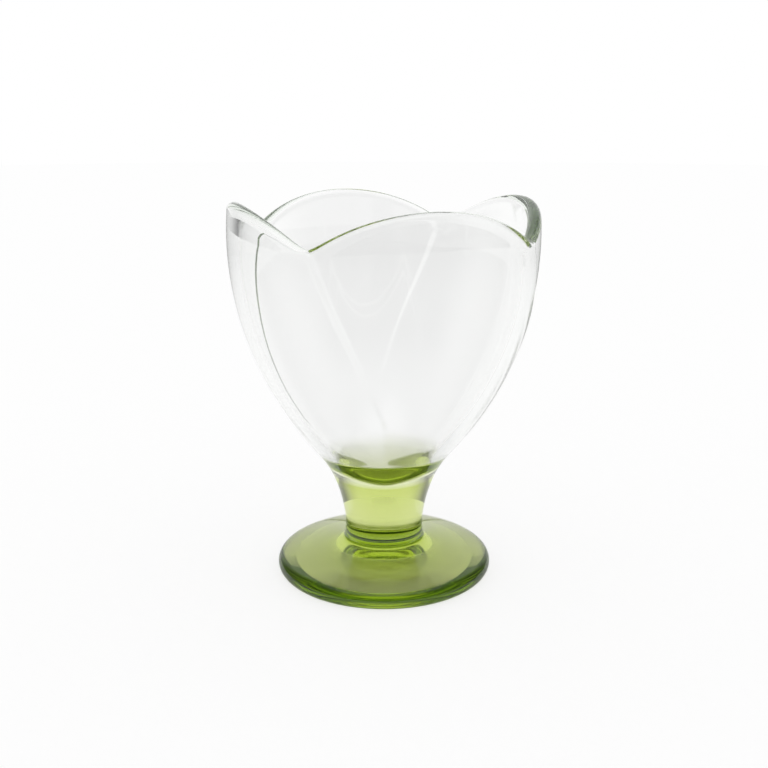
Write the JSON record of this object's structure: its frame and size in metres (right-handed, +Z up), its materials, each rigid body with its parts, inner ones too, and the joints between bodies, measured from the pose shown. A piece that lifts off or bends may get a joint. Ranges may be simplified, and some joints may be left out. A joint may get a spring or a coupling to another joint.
{
  "type": "parfait glass",
  "caption": "Footed dessert glass with a clear tulip bowl of overlapping scalloped petals, fused to a short flared green stem and a round green foot; holds ice cream or parfait.",
  "frame": {"origin": "centre of the foot's underside, on the surface that the glass stands on", "axes": "+Z up along the axis of the glass; the four petals face +X, +Y, -X and -Y, each lapping the next one round"},
  "size_m": [0.0964, 0.0964, 0.1206],
  "materials": {
    "clear_glass": "clear, fire polished",
    "green_glass": "olive green, clear through, fire polished"
  },
  "bodies": {
    "root": {"bowl": "clear_glass", "stem": "green_glass", "foot": "green_glass"}
  },
  "joints": []
}
